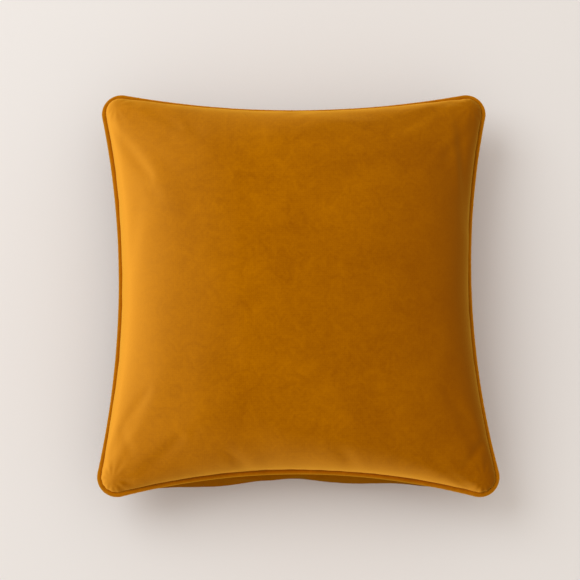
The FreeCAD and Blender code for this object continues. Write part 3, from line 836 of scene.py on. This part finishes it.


# Painted highlight for faces turned to the left and for the rims, and painted shade for faces turned to
# the right.
left_rim_painted_highlight = (0.82, 0.34, 0.03)
right_painted_shade = (0.21, 0.050, 0.0)
velvet = velvet_material("ochre velvet", (0.29, 0.083, 0.0), (0.42, 0.138, 0.0), left_rim_painted_highlight, right_painted_shade, 0.5)
# The back is a darker copy of the velvet, painted shade over the whole back panel, and its rim colour is
# darker still, more painted shade.
back_velvet_painted_shade = velvet_material(
    "ochre velvet painted shade", (0.24, 0.068, 0.0), (0.34, 0.108, 0.0), (0.15, 0.044, 0.0), right_painted_shade, 0.2)
# The bias strip is a slightly paler copy, and its direction colours are pale too: a painted highlight
# along the corded edge.
bias_velvet_painted_highlight = velvet_material(
    "ochre bias velvet painted highlight", (0.31, 0.092, 0.0), (0.46, 0.15, 0.002), (0.42, 0.145, 0.002),
    (0.38, 0.125, 0.0), 0.8)


# %% Painted shade on the back, up under the corded edge
def shade_near_seam(material, top, depth):
    """Paints shade into the pile just below a height, under the seam, where the corded edge overhangs it.
    """
    tree = material.node_tree
    place = tree.nodes.new("ShaderNodeTexCoord").outputs["Object"]
    split = tree.nodes.new("ShaderNodeSeparateXYZ")
    link(tree, place, split.inputs[0])
    seam_painted_shade = maths(tree, "MULTIPLY_ADD", split.outputs["Z"], 1 / depth, 1 - top / depth)
    seam_painted_shade.node.use_clamp = True
    base = tree.nodes["Principled BSDF"].inputs["Base Color"]
    pile_colour = base.links[0].from_socket
    # Painted shade: the pile colour is mixed towards near black up against the seam.
    pile_with_seam_shade = mixed(tree, maths(tree, "MULTIPLY", seam_painted_shade, 0.8), pile_colour, (0.04, 0.009, 0.0, 1.0))
    link(tree, pile_with_seam_shade, base)


shade_near_seam(back_velvet_painted_shade, seam_z - 2 * mm, 14 * mm)


# %% Dress the panels and the corded edge
for piece, material in ((front_velvet, velvet), (back_velvet, back_velvet_painted_shade)):
    piece.data.materials.append(material)
piping.data.materials.append(bias_velvet_painted_highlight)
print("velvets", velvet.name, "|", back_velvet_painted_shade.name, "|", bias_velvet_painted_highlight.name)

# %% [markdown]
# ## The inner and small materials
# One group makes a plain weave, as a mask and a height, from two sets of ribs. The case, tape,
# label and threads use it at their own scales.

# %% Weave group
def weave_group():
    group = bpy.data.node_groups.new("plain weave", "ShaderNodeTree")
    socket(group, "Scale", "INPUT", "NodeSocketFloat", 1.0)
    socket(group, "Mask", "OUTPUT", "NodeSocketFloat")
    socket(group, "Normal", "OUTPUT", "NodeSocketVector")
    source = group.nodes.new("NodeGroupInput")
    out = group.nodes.new("NodeGroupOutput")
    place = group.nodes.new("ShaderNodeTexCoord").outputs["Object"]
    scaled = group.nodes.new("ShaderNodeVectorMath")
    scaled.operation = "SCALE"
    link(group, place, scaled.inputs[0])
    link(group, source.outputs["Scale"], scaled.inputs["Scale"])
    warp = ribs(group, scaled.outputs[0], "X", 900.0, 0.6)
    weft = ribs(group, scaled.outputs[0], "Y", 900.0, 0.6)
    slubs = noise_field(group, place, 90.0, 3.0)
    crossed = maths(group, "MULTIPLY", warp, weft)
    mask = maths(group, "MULTIPLY_ADD", slubs, 0.5, maths(group, "MULTIPLY", crossed, 0.6))
    mask.node.use_clamp = True
    link(group, mask, out.inputs["Mask"])
    link(group, bumped(group, crossed, 0.5, 0.0002), out.inputs["Normal"])
    return group


plain_weave = weave_group()
print("weave group nodes", len(plain_weave.nodes))


def woven_material(name, deep, pale, scale, roughness, sheen=0.2):
    material, tree, shader = new_material(name)
    weave = tree.nodes.new("ShaderNodeGroup")
    weave.node_tree = plain_weave
    weave.inputs["Scale"].default_value = scale
    link(tree, mixed(tree, weave.outputs["Mask"], (*deep, 1), (*pale, 1)), shader.inputs["Base Color"])
    link(tree, weave.outputs["Normal"], shader.inputs["Normal"])
    rough = maths(tree, "MULTIPLY_ADD", weave.outputs["Mask"], 0.15, roughness)
    link(tree, rough, shader.inputs["Roughness"])
    shader.inputs["Sheen Weight"].default_value = sheen
    shader.inputs["Specular IOR Level"].default_value = 0.25
    return material


def fibrous_material(name, deep, pale, scale, roughness, specular):
    """Loose or moulded fibre, whose tone and surface follow a noise."""
    material, tree, shader = new_material(name)
    place = tree.nodes.new("ShaderNodeTexCoord").outputs["Object"]
    strands = noise_field(tree, place, scale, 5.0, 1.2)
    link(tree, mixed(tree, strands, (*deep, 1), (*pale, 1)), shader.inputs["Base Color"])
    link(tree, maths(tree, "MULTIPLY_ADD", strands, 0.25, roughness), shader.inputs["Roughness"])
    link(tree, bumped(tree, strands, 0.5, 0.0006), shader.inputs["Normal"])
    shader.inputs["Specular IOR Level"].default_value = specular
    return material


def enamel_material(name, paint, metal):
    """Enamel over zinc, worn to the metal on the places that rub."""
    material, tree, shader = new_material(name)
    place = tree.nodes.new("ShaderNodeTexCoord").outputs["Object"]
    worn = maths(tree, "MULTIPLY_ADD", noise_field(tree, place, 420.0, 4.0), 6.0, -3.9)
    worn.node.use_clamp = True
    grain = noise_field(tree, place, 2600.0, 2.0)
    link(tree, mixed(tree, worn, (*paint, 1), (*metal, 1)), shader.inputs["Base Color"])
    link(tree, worn, shader.inputs["Metallic"])
    link(tree, maths(tree, "MULTIPLY_ADD", grain, 0.15, 0.28), shader.inputs["Roughness"])
    link(tree, bumped(tree, grain, 0.15, 0.00005), shader.inputs["Normal"])
    return material


# %% Give every other piece its material
cambric = woven_material("cotton cambric", (0.70, 0.68, 0.63), (0.86, 0.85, 0.81), 1.4, 0.8)
tape_weave = woven_material("dyed zip tape", (0.22, 0.07, 0.001), (0.36, 0.125, 0.003), 1.0, 0.75)
ribbon = woven_material("blank ribbon", (0.78, 0.77, 0.73), (0.9, 0.89, 0.86), 2.0, 0.45, 0.05)
dyed_thread = woven_material("dyed thread", (0.26, 0.085, 0.001), (0.45, 0.17, 0.004), 3.0, 0.6)
plain_thread = woven_material("undyed thread", (0.72, 0.70, 0.66), (0.88, 0.87, 0.84), 3.0, 0.6)
cotton_cord = fibrous_material("cotton cord", (0.62, 0.57, 0.47), (0.84, 0.80, 0.72), 900.0, 0.7, 0.2)
loose_fibre = fibrous_material("loose fibre", (0.74, 0.75, 0.76), (0.93, 0.93, 0.93), 260.0, 0.65, 0.3)
nylon = fibrous_material("dyed nylon", (0.24, 0.085, 0.001), (0.33, 0.12, 0.003), 500.0, 0.3, 0.5)
enamel = enamel_material("ochre enamel", (0.30, 0.105, 0.002), (0.62, 0.60, 0.57))

made_pieces = [
    (case_front, cambric, "ticking"),
    (case_back, cambric, "ticking"),
    (fibre_body, loose_fibre, "fibre"),
    (cord, cotton_cord, "cotton_cord"),
    (coils[0], nylon, "zip_coil"),
    (coils[1], nylon, "zip_coil"),
    (slider_casting, enamel, "zip_metal"),
    (pull_casting, enamel, "zip_metal"),
]
for piece, material, slot_name in made_pieces:
    piece.data.materials.append(material)

cad_materials = {
    "cover_seam_thread": dyed_thread,
    "insert_seam_thread": plain_thread,
    "zip_tape_upper": tape_weave,
    "zip_tape_lower": tape_weave,
    "zip_thread_upper": dyed_thread,
    "zip_thread_lower": dyed_thread,
    "zip_top_stops": nylon,
    "zip_bottom_stop": nylon,
    "care_label": ribbon,
    "insert_label": ribbon,
}
for node, material in cad_materials.items():
    frame["nodes"][node].material_slots[0].material = material
print("materials", len(bpy.data.materials), "on", len(cad_materials), "kept nodes")

# %% [markdown]
# ## Floor, light and camera
# The pillow lies on pale paper. One large soft light from the upper left casts a soft shadow on
# the right, and a warm even room light fills the rest; the velvet's pale left side and deep right
# side are also painted into its colour. A long lens from almost straight above keeps the outline true.

# %% Studio
def plane(name, size, place):
    mesh = bpy.data.meshes.new(name)
    bm = bmesh.new()
    bmesh.ops.create_grid(bm, x_segments=1, y_segments=1, size=size)
    bm.to_mesh(mesh)
    bm.free()
    piece = bpy.data.objects.new(name, mesh)
    piece.location = place
    scene.collection.objects.link(piece)
    return piece


floor = plane("floor", 6.0, (0, 0, 0))
paper = bpy.data.materials.new("paper")
paper.use_nodes = True
paper.node_tree.nodes["Principled BSDF"].inputs["Base Color"].default_value = (0.765, 0.745, 0.725, 1)
paper.node_tree.nodes["Principled BSDF"].inputs["Roughness"].default_value = 0.9
floor.data.materials.append(paper)


def soft_light(name, place, target, size, power, colour):
    lamp = bpy.data.lights.new(name, "AREA")
    lamp.shape = "DISK"
    lamp.size = size
    lamp.energy = power
    lamp.color = colour
    holder = bpy.data.objects.new(name, lamp)
    holder.location = place
    holder.rotation_euler = (Vector(target) - Vector(place)).to_track_quat("-Z", "Y").to_euler()
    scene.collection.objects.link(holder)
    return holder


soft_light("key", (-1.75, 1.0, 2.6), (0, 0, 0.05), 2.4, 39, (0.97, 1.02, 1.07))
world = bpy.data.worlds.new("room")
world.use_nodes = True
world.node_tree.nodes["Background"].inputs["Color"].default_value = (1, 0.93, 0.87, 1)
world.node_tree.nodes["Background"].inputs["Strength"].default_value = 0.83
scene.world = world
scene.view_settings.view_transform = "Standard"

camera_data = bpy.data.cameras.new("camera")
camera_data.lens = 108.8
camera = bpy.data.objects.new("camera", camera_data)
tilt = math.radians(10.9)
target = Vector((-0.0085, 0.0023, 0.075))
camera.location = target + Vector((0, -math.sin(tilt), math.cos(tilt))) * 2.2
camera.rotation_euler = (target - camera.location).to_track_quat("-Z", "Y").to_euler()
scene.collection.objects.link(camera)
scene.camera = camera
print("camera", [round(x, 3) for x in camera.location], "lens", round(camera_data.lens, 1))
